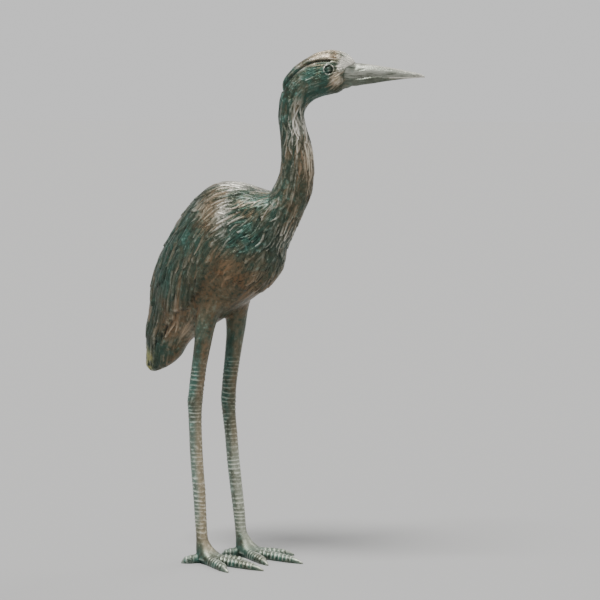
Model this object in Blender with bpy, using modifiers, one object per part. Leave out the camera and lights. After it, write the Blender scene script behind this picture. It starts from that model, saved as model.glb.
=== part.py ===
"""Bronze heron, a garden figure cast in one piece, standing on its own feet.

World axes: +X is the way the breast faces, +Y the bird's left and +Z up, with
the soles on z = 0. Lofted masses are fused into one skin, which is then carved.
"""
import math

import bmesh
import bpy
import numpy as np

# Driving sizes in metres and degrees.
HEIGHT = 0.790
BODY_WIDTH = 0.118
HEAD_WIDTH = 0.041
HEAD_TURN = 22.0
BILL_LENGTH = 0.103
LEG_SPACING = 0.071
TOE_LENGTH = 0.112
TOE_WIDTH = 0.017
EYE_RADIUS = 0.0050
WING_PROUD = 0.0042
FEATHER_RELIEF = 0.0021
RING_PITCH = 0.0066
RING_RELIEF = 0.0008

# The figure's tables are written for a crown 790 units high, at one unit a millimetre.
TABLE_HEIGHT = 790.0
UNIT = HEIGHT / TABLE_HEIGHT

# Fineness of the skin.
VOXEL = 1.7 * UNIT
RING_SIDES = 28
TRIANGLES = 9200
EYE_CARE = 0.04
SEED = 7
TRIES = 3000
HIP_ROUNDS = 24

# The trunk's axis runs from the tail to the neck's root: a start and a slope in x and z.
TRUNK_START = np.array([-138.0, 300.0])
TRUNK_ALONG = np.array([0.629, 0.777])
TRUNK_UP = np.array([-0.777, 0.629])

# Trunk sections: place on the axis, back, belly, share of half the body's width.
TRUNK = [
    (-6, 1, -9, 0.06), (0, 6, -16, 0.16), (20, 20, -28, 0.27), (44, 38, -34, 0.36),
    (67, 48, -32, 0.43), (89, 58, -35, 0.53), (115, 70, -45, 0.68), (142, 81, -55, 0.81),
    (175, 89, -66, 0.92), (209, 95, -76, 0.99), (237, 95, -82, 1.0), (263, 93, -83, 0.97),
    (288, 87, -72, 0.90), (310, 73, -59, 0.78), (328, 50, -59, 0.66), (345, 12, -55, 0.52),
    (358, -8, -46, 0.36),
]

# Where the head turns on the neck, and the neck's and head's sections: nape and throat as
# (ahead of that pin, height), half width as a share of half the head's, share of the turn.
PIN = np.array([117.0, 0.0, 706.0])
NECK = [
    (-72, 520, -34, 448, 2.05, 0.0), (-44, 554, -17, 488, 1.92, 0.0),
    (-31, 573, -1, 518, 1.62, 0.0), (-27, 582, 15, 545, 1.36, 0.0),
    (-21, 593, 27, 566, 1.22, 0.0), (-17, 604, 32, 588, 1.14, 0.0),
    (-15, 620, 34, 610, 1.10, 0.0), (-14, 638, 31.5, 636, 1.04, 0.0),
    (-16, 660, 24, 660, 0.98, 0.12), (-19, 684, 17, 685, 0.92, 0.45),
    (-19, 700, 17.5, 696, 0.91, 0.75), (-18, 713, 23.5, 706, 0.92, 0.95),
    (-14, 729, 33, 714, 0.93, 1.0), (-11, 742, 42, 718, 0.95, 1.0),
    (-3, 753.5, 53, 721, 0.98, 1.0), (9, 765, 63, 723, 1.0, 1.0),
    (23, 774, 69, 724, 1.0, 1.0), (38, 782, 75, 727, 0.97, 1.0),
    (56, 786, 80, 729, 0.90, 1.0), (72, 786, 85, 730, 0.80, 1.0),
    (84, 781, 91, 733, 0.66, 1.0), (93, 772, 97, 736, 0.50, 1.0),
    (99, 762, 102, 741, 0.34, 1.0),
]

# Middle of the eyes, as (ahead of the pin, height), and their place across half the head.
EYE = (57.0, 758.0)
EYE_ASIDE = 0.80

# Edge of the crest plate on the side of the head, from the brow to the nape.
CREST_EDGE = [(57, 773), (37, 772), (20, 766), (3, 753), (-10, 739), (-14, 729)]

# Bill sections: share of its length from the feather edge, top, gape, underside, half width.
FEATHER_EDGE = 96.0
BILL = [
    (-0.22, 760, 744, 735, 9.0), (-0.02, 768, 746, 733, 10.4), (0.10, 768, 747, 735, 9.6),
    (0.22, 766, 748.5, 737, 8.4), (0.40, 763, 749, 740, 7.0), (0.58, 760, 748.5, 742.5, 5.8),
    (0.76, 756, 748, 744.5, 4.8), (0.88, 753.5, 747.5, 745.5, 3.8), (0.96, 751, 747, 746, 2.6),
    (1.0, 748.5, 746.6, 746.4, 1.2),
]
# How much each half narrows away from the gape, and the lower half's width and shortness.
BILL_PINCH = 0.42
LOWER_BILL_WIDTH = 0.94
UNDERBITE = 5.0

# Legs from hip to ankle: ahead, height, radius, share of half the spacing.
RIGHT_LEG = [
    (4, 440, 28, 0.42), (-7, 408, 23, 0.66), (-13.5, 385, 18.0, 0.84), (-17, 362, 15.2, 0.97),
    (-19.8, 340, 13.2, 1.0), (-26.0, 305, 11.8, 1.02), (-31.2, 268, 11.4, 1.04),
    (-33.2, 252, 11.8, 1.05), (-33.2, 236, 10.9, 1.05), (-33.0, 210, 10.1, 1.05),
    (-30.4, 158, 10.0, 1.06), (-26.8, 119, 9.9, 1.07), (-24.8, 93, 9.7, 1.08),
    (-22.8, 64, 9.2, 1.10), (-20.4, 39, 9.2, 1.12), (-18.8, 20, 10.5, 1.13), (-17.0, 4, 11.0, 1.13),
]
LEFT_LEG = [
    (14, 440, 28, 0.42), (7, 408, 23, 0.62), (3, 385, 18.4, 0.80), (0, 362, 15.5, 0.92),
    (-3.2, 338, 13.4, 0.94), (-10.2, 290, 12.0, 0.94), (-13.2, 262, 11.7, 0.92),
    (-13.8, 248, 12.0, 0.91), (-13.2, 230, 10.9, 0.90), (-9.6, 200, 10.2, 0.88),
    (-4.2, 149, 10.1, 0.86), (0.6, 110, 9.9, 0.85), (5.1, 78, 9.5, 0.84), (8.2, 50, 9.1, 0.83),
    (11.0, 29, 9.3, 0.82), (12.4, 17, 10.4, 0.82), (13.8, 4, 11.0, 0.82),
]

# Toes of each foot: direction from straight ahead, length as a share of the middle toe.
RIGHT_TOES = [(-5.0, 1.0), (-33.0, 0.74), (20.0, 0.64), (222.0, 0.32)]
LEFT_TOES = [(-5.0, 1.0), (-33.0, 0.74), (26.0, 0.72), (222.0, 0.32)]
# One toe: share of its length, half width and top as shares of half the toe's width.
TOE_SHAPE = [
    (0.0, 1.10, 1.9), (0.10, 1.08, 1.75), (0.20, 0.98, 1.62), (0.32, 0.98, 1.60), (0.44, 0.90, 1.46),
    (0.56, 0.93, 1.46), (0.68, 0.83, 1.30), (0.78, 0.80, 1.22), (0.85, 0.58, 1.02), (0.93, 0.36, 0.72),
    (1.0, 0.13, 0.30),
]

# Instep, which runs down from the shank's front to the middle toe: height, middle ahead of the
# ankle, reach ahead and half width.
INSTEP = [
    (44, -3.6, 5.6, 5.6), (37, -2.4, 8.0, 8.2), (30, 0.2, 9.6, 9.4), (24, 3.2, 11.4, 10.8),
    (18, 7.4, 14.6, 13.4), (12, 12.0, 20.0, 16.6), (6, 13.5, 23.5, 18.0),
]

# Folded wing: its front and lower edge on the flank, from the shoulder to the wing tip.
WING_EDGE = [
    (52, 566), (38, 548), (33, 516), (25, 482), (6, 453), (-16, 426), (-34, 404), (-64, 386),
    (-92, 358), (-112, 338),
]

# Below this line, from the flank to the breast, the belly between the legs is bare.
BELLY_EDGE = [(-40, 474), (-8, 470), (20, 458), (42, 440), (62, 424), (90, 404)]

# How the plumage lies, seen from the side: ahead, height, and the way a feather points.
FLOW = [
    (120, 690, 0.0, -1.0), (124, 640, 0.05, -1.0), (122, 600, -0.15, -1.0), (112, 555, -0.4, -1.0),
    (128, 540, -0.42, -1.0), (96, 480, -0.7, -0.8), (100, 440, -0.6, -0.9), (70, 565, -1.0, -0.35),
    (45, 560, -1.0, -0.25), (40, 520, -0.85, -0.6), (35, 600, -1.0, -0.05), (-5, 590, -0.85, -0.5),
    (-25, 545, -0.5, -0.9), (-40, 490, -0.3, -1.0), (-65, 530, -0.55, -0.85), (-10, 500, -0.15, -1.0),
    (-80, 410, -0.3, -1.0), (-100, 350, -0.25, -1.0), (-115, 320, -0.2, -1.0), (-60, 370, -0.8, -0.5),
    (40, 445, -0.7, -0.55), (-15, 410, -0.1, -1.0), (60, 770, -1.0, 0.1), (20, 750, -0.9, -0.6),
]
FLOW_REACH = 34.0

# The tail lies behind this place and the legs ahead of it.
TAIL_CLEAR = -60.0

# How far the crest plate stands off, and the depths of the grooves below it and round the eyes.
CREST_PROUD = 1.6
CREST_GROOVE = 1.5
EYE_GROOVE = 0.9

# Feathers carved in each region: length, width, relief, gap between rows, gap across.
FEATHERS = {
    "neck": (42, 7.0, 0.75, 0.52, 0.85),
    "breast": (50, 9.0, 1.0, 0.50, 0.85),
    "hump": (58, 12.0, 1.05, 0.48, 0.85),
    "covert": (24, 11.0, 0.85, 0.55, 0.85),
    "quill": (80, 10.5, 1.05, 0.55, 0.82),
    "tail": (52, 10.0, 0.9, 0.50, 0.85),
}

BRONZE = (0.105, 0.078, 0.052, 1.0)


def smooth_rows(rows, steps):
    """Rows of a table with Catmull-Rom steps put in between them."""
    rows = np.array(rows, float)
    ends = np.vstack([2 * rows[0] - rows[1], rows, 2 * rows[-1] - rows[-2]])
    result = []
    for index in range(len(rows) - 1):
        before, start, stop, after = ends[index:index + 4]
        for share in np.arange(steps) / steps:
            bend = (2 * before - 5 * start + 4 * stop - after) * share ** 2
            twist = (3 * start - before - 3 * stop + after) * share ** 3
            result.append(start + 0.5 * ((stop - before) * share + bend + twist))
    result.append(rows[-1])
    return np.array(result)


def ring(centre, reach, side, pinch=0.0):
    """An oval section; a positive pinch narrows the end that reach points to."""
    turns = np.arange(RING_SIDES) * (2 * math.pi / RING_SIDES)
    along = np.cos(turns)
    across = np.sin(turns) * (1 - pinch * along)
    return centre + np.outer(along, reach) + np.outer(across, side)


def loft(skin, rings):
    """Join rings of points into a closed mass, added to the skin."""
    loops = []
    for points in rings:
        loops.append([skin.verts.new(point * UNIT) for point in points])
    for lower, upper in zip(loops, loops[1:]):
        for index in range(RING_SIDES):
            following = (index + 1) % RING_SIDES
            skin.faces.new((lower[index], lower[following], upper[following], upper[index]))
    skin.faces.new(list(reversed(loops[0])))
    skin.faces.new(loops[-1])


def turned(share):
    """Ahead and sideways directions of the head at a share of its turn."""
    angle = math.radians(HEAD_TURN) * share
    ahead = np.array([math.cos(angle), math.sin(angle), 0.0])
    side = np.array([-math.sin(angle), math.cos(angle), 0.0])
    return ahead, side


def head_point(ahead_of_pin, height, aside=0.0):
    """A place in the turned head's own plane."""
    ahead, side = turned(1.0)
    return PIN * (1, 1, 0) + ahead * ahead_of_pin + side * aside + np.array([0, 0, height])


def add_trunk(skin):
    half_width = BODY_WIDTH / UNIT / 2
    rings = []
    for place, back, belly, share in smooth_rows(TRUNK, 4):
        middle = TRUNK_START + TRUNK_ALONG * place + TRUNK_UP * (back + belly) / 2
        reach = TRUNK_UP * (back - belly) / 2
        centre = np.array([middle[0], 0.0, middle[1]])
        side = np.array([0.0, half_width * share, 0.0])
        rings.append(ring(centre, np.array([reach[0], 0.0, reach[1]]), side, 0.06))
    loft(skin, rings)


def add_neck_and_head(skin):
    half_width = HEAD_WIDTH / UNIT / 2
    rings = []
    for nape, nape_z, throat, throat_z, wide, turn in smooth_rows(NECK, 4):
        ahead, side = turned(turn)
        centre = PIN * (1, 1, 0) + ahead * (nape + throat) / 2
        centre = centre + np.array([0, 0, (nape_z + throat_z) / 2])
        reach = ahead * (nape - throat) / 2 + np.array([0, 0, (nape_z - throat_z) / 2])
        rings.append(ring(centre, reach, side * half_width * wide, 0.14 * turn))
    loft(skin, rings)


def add_bill(skin):
    length = BILL_LENGTH / UNIT
    side = turned(1.0)[1]
    upper = []
    lower = []
    for share, top, gape, under, wide in smooth_rows(BILL, 4):
        ahead = FEATHER_EDGE + share * length
        spread = side * wide
        tall = np.array([0, 0, (top - gape) / 2 + 0.5])
        deep = np.array([0, 0, (gape - under) / 2 + 0.3])
        upper.append(ring(head_point(ahead, (top + gape) / 2 - 0.3), tall, spread, BILL_PINCH))
        under_place = head_point(ahead - UNDERBITE * share, (gape + under) / 2)
        lower.append(ring(under_place, deep, spread * LOWER_BILL_WIDTH, -BILL_PINCH))
    loft(skin, upper)
    loft(skin, lower)


def add_leg(skin, rows, hand):
    half_spacing = LEG_SPACING / UNIT / 2
    rings = []
    for ahead, height, radius, share in smooth_rows(rows, 4):
        centre = np.array([ahead, hand * half_spacing * share, height])
        rings.append(ring(centre, np.array([radius, 0.0, 0.0]), np.array([0.0, radius, 0.0])))
    loft(skin, rings)
    return rings[-1].mean(axis=0) * (1, 1, 0)


def add_instep(skin, ankle, heading):
    """The slope from the shank down onto the toes."""
    angle = math.radians(heading)
    ahead = np.array([math.cos(angle), math.sin(angle), 0.0])
    side = np.array([-math.sin(angle), math.cos(angle), 0.0])
    rings = []
    for height, place, reach, wide in smooth_rows(INSTEP, 3):
        rings.append(ring(ankle + ahead * place + np.array([0, 0, height]), ahead * reach, side * wide))
    loft(skin, rings)


def add_foot(skin, ankle, toes):
    add_instep(skin, ankle, toes[0][0])
    half_width = TOE_WIDTH / UNIT / 2
    for heading, share_of_middle in toes:
        angle = math.radians(heading)
        ahead = np.array([math.cos(angle), math.sin(angle), 0.0])
        side = np.array([-math.sin(angle), math.cos(angle), 0.0])
        length = TOE_LENGTH / UNIT * share_of_middle
        rings = []
        for share, wide, tall in smooth_rows(TOE_SHAPE, 3):
            top = tall * half_width
            bottom = -0.35 * half_width
            centre = ankle + ahead * share * length + np.array([0, 0, (top + bottom) / 2])
            reach = np.array([0, 0, (top - bottom) / 2])
            rings.append(ring(centre, reach, side * half_width * wide))
        loft(skin, rings)


def add_eyes(skin):
    radius = EYE_RADIUS / UNIT
    aside = HEAD_WIDTH / UNIT / 2 * EYE_ASIDE
    for hand in (-1, 1):
        centre = head_point(*EYE, hand * aside)
        made = bmesh.ops.create_uvsphere(skin, u_segments=20, v_segments=12, radius=radius * UNIT)
        bmesh.ops.translate(skin, verts=made["verts"], vec=centre * UNIT)


def fused_skin(collection):
    """All masses as one closed skin, as arrays of points and faces."""
    skin = bmesh.new()
    add_trunk(skin)
    add_neck_and_head(skin)
    add_bill(skin)
    add_eyes(skin)
    add_foot(skin, add_leg(skin, RIGHT_LEG, -1), RIGHT_TOES)
    add_foot(skin, add_leg(skin, LEFT_LEG, 1), LEFT_TOES)
    bmesh.ops.recalc_face_normals(skin, faces=skin.faces)
    mesh = bpy.data.meshes.new("masses")
    skin.to_mesh(mesh)
    skin.free()
    masses = bpy.data.objects.new("masses", mesh)
    collection.objects.link(masses)
    remesh = masses.modifiers.new("fuse", "REMESH")
    remesh.mode = "VOXEL"
    remesh.voxel_size = VOXEL
    result = evaluated_mesh(masses)
    bpy.data.objects.remove(masses)
    return result


def evaluated_mesh(thing):
    """A thing's mesh with its modifiers applied, as a new mesh."""
    bpy.context.view_layer.update()
    depsgraph = bpy.context.evaluated_depsgraph_get()
    return bpy.data.meshes.new_from_object(thing.evaluated_get(depsgraph))


def mesh_points(mesh):
    flat = np.empty(len(mesh.vertices) * 3)
    mesh.vertices.foreach_get("co", flat)
    return flat.reshape(-1, 3)


def mesh_normals(mesh):
    flat = np.empty(len(mesh.vertices) * 3)
    mesh.vertex_normals.foreach_get("vector", flat)
    return flat.reshape(-1, 3)


def mesh_edges(mesh):
    flat = np.empty(len(mesh.edges) * 2, dtype=np.int64)
    mesh.edges.foreach_get("vertices", flat)
    return flat.reshape(-1, 2)


def relaxed(points, edges, rounds):
    """Points smoothed in and out by turns, which keeps their bulk."""
    first, second = edges[:, 0], edges[:, 1]
    count = len(points)
    links = np.maximum(np.bincount(first, minlength=count) + np.bincount(second, minlength=count), 1)
    for step in range(2 * rounds):
        pull = 0.55 if step % 2 == 0 else -0.57
        mean = np.empty_like(points)
        for axis in range(3):
            column = points[:, axis]
            mean[:, axis] = np.bincount(first, column[second], count)
            mean[:, axis] += np.bincount(second, column[first], count)
        points = points + pull * (mean / links[:, None] - points)
    return points


def blended_hips(points, edges):
    """The places where the thighs leave the belly, drawn smooth."""
    x, y, z = points.T / UNIT
    hips = ease(345, 385, z) * (1 - ease(425, 460, z)) * ease(-75, -50, x) * (1 - ease(55, 75, x))
    first, second = edges[:, 0], edges[:, 1]
    count = len(points)
    links = np.maximum(np.bincount(first, minlength=count) + np.bincount(second, minlength=count), 1)
    for step in range(HIP_ROUNDS):
        mean = np.empty_like(points)
        for axis in range(3):
            column = points[:, axis]
            mean[:, axis] = np.bincount(first, column[second], count)
            mean[:, axis] += np.bincount(second, column[first], count)
        points = points + (0.6 * hips)[:, None] * (mean / links[:, None] - points)
    return points


def ease(low, high, value):
    share = np.clip((value - low) / (high - low), 0.0, 1.0)
    return share * share * (3 - 2 * share)


def line_offset(x, z, line):
    """Signed distance from a line of points, positive to its right as it runs."""
    best = np.full(len(x), 1e9)
    side = np.zeros(len(x))
    for (x0, z0), (x1, z1) in zip(line, line[1:]):
        run = np.array([x1 - x0, z1 - z0], float)
        length = np.hypot(*run)
        run = run / length
        along = np.clip((x - x0) * run[0] + (z - z0) * run[1], 0, length)
        off_x = x - x0 - along * run[0]
        off_z = z - z0 - along * run[1]
        distance = np.hypot(off_x, off_z)
        closer = distance < best
        best = np.where(closer, distance, best)
        side = np.where(closer, np.sign(off_x * run[1] - off_z * run[0]), side)
    return best * side


def trunk_place(x, z):
    along = (x - TRUNK_START[0]) * TRUNK_ALONG[0] + (z - TRUNK_START[1]) * TRUNK_ALONG[1]
    up = (x - TRUNK_START[0]) * TRUNK_UP[0] + (z - TRUNK_START[1]) * TRUNK_UP[1]
    return along, up


def feather_regions(points):
    """Which kind of feather covers each point of the skin; None where it is bare."""
    x, y, z = points.T
    along, up = trunk_place(x, z)
    inside_wing = line_offset(x, z, smooth_rows(WING_EDGE, 4)) > 1.0
    region = np.full(len(points), None, dtype=object)
    trunk = (z > 372) & (z < 600)
    on_belly = line_offset(x, z, smooth_rows(BELLY_EDGE, 3)) > 0
    region[trunk & ~on_belly] = "breast"
    region[(z >= 560) & (z < 712) & (x > 60)] = "neck"
    on_wing = inside_wing & (z < 610) & (x < 60)
    region[on_wing] = "covert"
    region[on_wing & (along < 190)] = "quill"
    region[(up > 62) & (along > 130) & (x < 78) & (z < 612)] = "hump"
    region[(along < 52) & (z > 285) & ~inside_wing] = "tail"
    return region


def feather_ways(points, normals):
    """Unit directions in the skin along which the feathers lie."""
    anchors = np.array(FLOW)
    aim = anchors[:, 2:] / np.linalg.norm(anchors[:, 2:], axis=1)[:, None]
    gap = (points[:, None, 0] - anchors[None, :, 0]) ** 2 + (points[:, None, 2] - anchors[None, :, 1]) ** 2
    weight = np.exp(-gap / (2 * FLOW_REACH ** 2)) + 1e-9
    flat = weight @ aim
    ways = np.stack([flat[:, 0], np.zeros(len(points)), flat[:, 1]], axis=1)
    ways -= normals * np.sum(ways * normals, axis=1)[:, None]
    return ways / np.maximum(np.linalg.norm(ways, axis=1), 1e-6)[:, None]


def feather_seeds(points, ways, normals, region, chance):
    """Roots of the feathers, spread so that rows overlap like shingles."""
    seeds = []
    for kind, sizes in FEATHERS.items():
        length, width = sizes[:2]
        row_gap, side_gap = sizes[3:]
        candidates = np.flatnonzero(region == kind)
        chance.shuffle(candidates)
        kept = np.empty((0, 3))
        for index in candidates[:TRIES]:
            if len(kept):
                offset = kept - points[index]
                forward = offset @ ways[index] / (row_gap * length)
                aside = offset @ np.cross(normals[index], ways[index]) / (side_gap * width)
                depth = offset @ normals[index] / (0.8 * width)
                if np.min(forward ** 2 + aside ** 2 + depth ** 2) < 1.0:
                    continue
            kept = np.vstack([kept, points[index]])
            seeds.append((kind, index))
    return seeds


def carved_feathers(points, normals):
    """Height of the plumage over the smooth form at every point."""
    chance = np.random.default_rng(SEED)
    region = feather_regions(points)
    ways = feather_ways(points, normals)
    height = np.zeros(len(points))
    order = np.argsort(points[:, 2])
    levels = points[order, 2]
    for kind, index in feather_seeds(points, ways, normals, region, chance):
        length, width, relief = FEATHERS[kind][:3]
        length = length * chance.uniform(0.85, 1.2)
        way = ways[index]
        across = np.cross(normals[index], way)
        root = points[index] - way * length * 0.5
        reach = length * 0.62
        lowest, highest = np.searchsorted(levels, (points[index, 2] - reach, points[index, 2] + reach))
        near = order[lowest:highest]
        near = near[np.abs(points[near, 0] - points[index, 0]) < reach]
        near = near[np.abs(points[near, 1] - points[index, 1]) < reach]
        offset = points[near] - root
        run = offset @ way / length
        aside = offset @ across
        deep = np.abs(offset @ normals[index]) < 0.6 * width + 0.2 * length
        span = width / 2 * np.sqrt(np.clip(1 - ((run - 0.3) / 0.72) ** 2, 0.0, 1.0)) + 1e-6
        covered = (run > 0) & (run < 1.0) & (np.abs(aside) < span) & deep
        crown = 1 - 0.55 * (aside / span) ** 2
        rise = relief * (0.15 + 0.85 * run) * crown
        height[near] = np.where(covered, np.maximum(height[near], rise), height[near])
    soft = ease(366, 392, points[:, 2]) * (1 - ease(700, 716, points[:, 2]))
    tail = 1 - ease(40, 60, trunk_place(points[:, 0], points[:, 2])[0])
    return height * np.maximum(soft, tail) * FEATHER_RELIEF / UNIT


def carved_wings(points):
    """Height of the folded wings, which stand off the flank along their edge."""
    x, y, z = points.T
    offset = line_offset(x, z, smooth_rows(WING_EDGE, 4))
    flank = ease(6, 18, np.abs(y)) * (1 - ease(500, 560, z)) * ease(322, 350, z)
    return ease(-1.5, 3.5, offset) * flank * WING_PROUD / UNIT


def carved_legs(points):
    """Rings of scutes round the shanks."""
    x, y, z = points.T
    pitch = RING_PITCH / UNIT
    shank = ease(30, 44, z) * (1 - ease(318, 336, z)) * (x > TAIL_CLEAR)
    wave = np.abs(np.sin(math.pi * z / pitch))
    return (wave ** 0.7 - 0.5) * shank * RING_RELIEF / UNIT


def head_places(points):
    """How far points lie ahead of the neck's pin and aside, in the turned head's frame."""
    ahead, side = turned(1.0)
    flat = points - PIN * (1, 1, 0)
    return flat @ ahead, flat @ side


def eye_distance(points):
    """Distance from the middle of an eye in the side view; far away below the head."""
    along = head_places(points)[0]
    distance = np.hypot(along - EYE[0], points[:, 2] - EYE[1])
    return np.where(points[:, 2] > PIN[2], distance, EYE[1])


def carved_head(points):
    """The crest plate over the crown, with a groove below its edge, and the eye rings."""
    along, aside = head_places(points)
    z = points[:, 2]
    offset = line_offset(along, z, smooth_rows(CREST_EDGE, 3))
    covered = (1 - ease(54, 66, along)) * ease(722, 732, z)
    plate = CREST_PROUD * ease(-0.8, 1.6, offset)
    plate -= CREST_GROOVE * np.exp(-((offset + 2.2) / 1.8) ** 2)
    from_eye = eye_distance(points) - EYE_RADIUS / UNIT
    groove = -EYE_GROOVE * np.exp(-((from_eye - 0.8) / 1.1) ** 2) * (np.abs(aside) > 9)
    return plate * covered + groove


def carve(mesh):
    """Smooth the fused skin and raise its carving."""
    edges = mesh_edges(mesh)
    smooth = blended_hips(relaxed(mesh_points(mesh), edges, 5), edges)
    mesh.vertices.foreach_set("co", smooth.ravel())
    mesh.update()
    points = mesh_points(mesh) / UNIT
    normals = mesh_normals(mesh)
    lift = carved_feathers(points, normals) + carved_wings(points)
    lift += carved_legs(points) + carved_head(points)
    points = points + normals * lift[:, None]
    mesh.vertices.foreach_set("co", (points * UNIT).ravel())
    mesh.update()


def thinned(mesh, collection):
    """The carved skin with its triangles spent where it bends."""
    thing = bpy.data.objects.new("thinned", mesh)
    collection.objects.link(thing)
    mesh.calc_loop_triangles()
    decimate = thing.modifiers.new("thin", "DECIMATE")
    decimate.ratio = TRIANGLES / len(mesh.loop_triangles)
    decimate.use_collapse_triangulate = True
    from_eye = eye_distance(mesh_points(mesh) / UNIT)
    eyes = thing.vertex_groups.new(name="eyes")
    eyes.add(np.flatnonzero(from_eye < 2 * EYE_RADIUS / UNIT).tolist(), EYE_CARE, "REPLACE")
    decimate.vertex_group = eyes.name
    decimate.invert_vertex_group = True
    decimate.vertex_group_factor = 1.0
    result = evaluated_mesh(thing)
    bpy.data.objects.remove(thing)
    return result


def stand_on_soles(mesh):
    """Cut the feet flat at the ground and set the box's middle over the origin."""
    shape = bmesh.new()
    shape.from_mesh(mesh)
    geometry = shape.verts[:] + shape.edges[:] + shape.faces[:]
    cut = bmesh.ops.bisect_plane(shape, geom=geometry, dist=1e-7, plane_co=(0, 0, 0), plane_no=(0, 0, 1),
                                 clear_inner=True)
    rims = [piece for piece in cut["geom_cut"] if isinstance(piece, bmesh.types.BMEdge)]
    bmesh.ops.contextual_create(shape, geom=rims)
    bmesh.ops.triangulate(shape, faces=shape.faces[:])
    bmesh.ops.recalc_face_normals(shape, faces=shape.faces[:])
    places = np.array([vertex.co for vertex in shape.verts])
    middle = (places.min(axis=0) + places.max(axis=0)) / 2
    bmesh.ops.translate(shape, verts=shape.verts[:], vec=(-middle[0], -middle[1], 0.0))
    shape.to_mesh(mesh)
    shape.free()


def bronze_material():
    material = bpy.data.materials.new("patinated_bronze")
    material.use_nodes = True
    shader = material.node_tree.nodes["Principled BSDF"]
    shader.inputs["Base Color"].default_value = BRONZE
    shader.inputs["Metallic"].default_value = 0.75
    shader.inputs["Roughness"].default_value = 0.5
    material.diffuse_color = BRONZE
    return material


def main():
    for thing in list(bpy.data.objects):
        bpy.data.objects.remove(thing)
    collection = bpy.data.collections.new("bronze_heron")
    bpy.context.scene.collection.children.link(collection)
    skin = fused_skin(collection)
    carve(skin)
    mesh = thinned(skin, collection)
    stand_on_soles(mesh)
    mesh.name = "heron"
    mesh.materials.clear()
    mesh.materials.append(bronze_material())
    mesh.shade_smooth()
    heron = bpy.data.objects.new("heron", mesh)
    collection.objects.link(heron)


main()
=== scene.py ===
"""Bronze heron: the finely carved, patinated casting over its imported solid.

The figure is laid out as in its solid model, fused at a finer pitch, carved
feather by feather, and finished with a procedural patina.
"""
import math

import bmesh
import bpy
import numpy as np
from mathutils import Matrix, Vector


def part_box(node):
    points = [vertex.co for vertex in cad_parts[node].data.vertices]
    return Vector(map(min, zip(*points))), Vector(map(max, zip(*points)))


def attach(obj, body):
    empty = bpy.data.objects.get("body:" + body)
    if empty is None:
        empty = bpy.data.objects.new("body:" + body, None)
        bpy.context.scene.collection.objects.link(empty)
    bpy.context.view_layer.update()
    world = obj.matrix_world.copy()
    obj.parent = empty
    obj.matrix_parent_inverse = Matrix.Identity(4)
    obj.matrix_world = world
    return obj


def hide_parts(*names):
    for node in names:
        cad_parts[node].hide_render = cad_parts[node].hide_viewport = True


# Driving sizes in metres and degrees.
HEIGHT = 0.790
BODY_WIDTH = 0.118
HEAD_WIDTH = 0.041
HEAD_TURN = 22.0
BILL_LENGTH = 0.103
LEG_SPACING = 0.071
TOE_LENGTH = 0.112
TOE_WIDTH = 0.017
EYE_RADIUS = 0.0050
WING_PROUD = 0.0042
FEATHER_RELIEF = 0.0021
RING_PITCH = 0.0066
RING_RELIEF = 0.0008

# The figure's tables are written for a crown 790 units high, at one unit a millimetre.
TABLE_HEIGHT = 790.0
UNIT = HEIGHT / TABLE_HEIGHT

# Fineness of the carved skin: its pitch, the sides of a section and the triangles kept.
VOXEL = 1.12 * UNIT
RING_SIDES = 40
TRIANGLES = 195000

# Rounds of smoothing: the whole skin, where the thighs join it, the depth of its hollows and
# the rust's soft edge; then how far one round moves a point.
RELAX_ROUNDS = 9
HIP_ROUNDS = 55
HOLLOW_ROUNDS = 14
RUST_ROUNDS = 24
RELAX_PULLS = (0.55, -0.57)
HIP_PULL = 0.6

# The plumage's random draws, and the most places tried for one kind of feather.
SEED = 11
TRIES = 9000

# The trunk's axis runs from the tail to the neck's root: a start and a slope in x and z.
TRUNK_START = np.array([-138.0, 300.0])
TRUNK_ALONG = np.array([0.629, 0.777])
TRUNK_UP = np.array([-0.777, 0.629])

# Trunk sections: place on the axis, back, belly, share of half the body's width.
TRUNK = [
    (-6, 1, -9, 0.06), (0, 6, -16, 0.16), (20, 20, -28, 0.27), (44, 38, -34, 0.36),
    (67, 48, -32, 0.43), (89, 58, -35, 0.53), (115, 70, -45, 0.68), (142, 81, -55, 0.81),
    (175, 89, -66, 0.92), (209, 95, -76, 0.99), (237, 95, -82, 1.0), (263, 93, -83, 0.97),
    (288, 87, -72, 0.90), (310, 73, -59, 0.78), (328, 50, -59, 0.66), (345, 12, -55, 0.52),
    (358, -8, -46, 0.36),
]

# Where the head turns on the neck, and the neck's and head's sections: nape and throat as
# (ahead of that pin, height), half width as a share of half the head's, share of the turn.
PIN = np.array([117.0, 0.0, 706.0])
NECK = [
    (-72, 520, -34, 448, 2.05, 0.0), (-44, 554, -17, 488, 1.92, 0.0),
    (-31, 573, -1, 518, 1.62, 0.0), (-27, 582, 15, 545, 1.36, 0.0),
    (-21, 593, 27, 566, 1.22, 0.0), (-17, 604, 32, 588, 1.14, 0.0),
    (-15, 620, 34, 610, 1.10, 0.0), (-14, 638, 31.5, 636, 1.04, 0.0),
    (-16, 660, 24, 660, 0.98, 0.12), (-19, 684, 17, 685, 0.92, 0.45),
    (-19, 700, 17.5, 696, 0.91, 0.75), (-18, 713, 23.5, 706, 0.92, 0.95),
    (-14, 729, 33, 714, 0.93, 1.0), (-11, 742, 42, 718, 0.95, 1.0),
    (-3, 753.5, 53, 721, 0.98, 1.0), (9, 765, 63, 723, 1.0, 1.0),
    (23, 774, 69, 724, 1.0, 1.0), (38, 782, 75, 727, 0.97, 1.0),
    (56, 786, 80, 729, 0.90, 1.0), (72, 786, 85, 730, 0.80, 1.0),
    (84, 781, 91, 733, 0.66, 1.0), (93, 772, 97, 736, 0.50, 1.0),
    (99, 762, 102, 741, 0.34, 1.0),
]

# Middle of the eyes, as (ahead of the pin, height), and their place across half the head.
EYE = (57.0, 758.0)
EYE_ASIDE = 0.80

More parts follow.
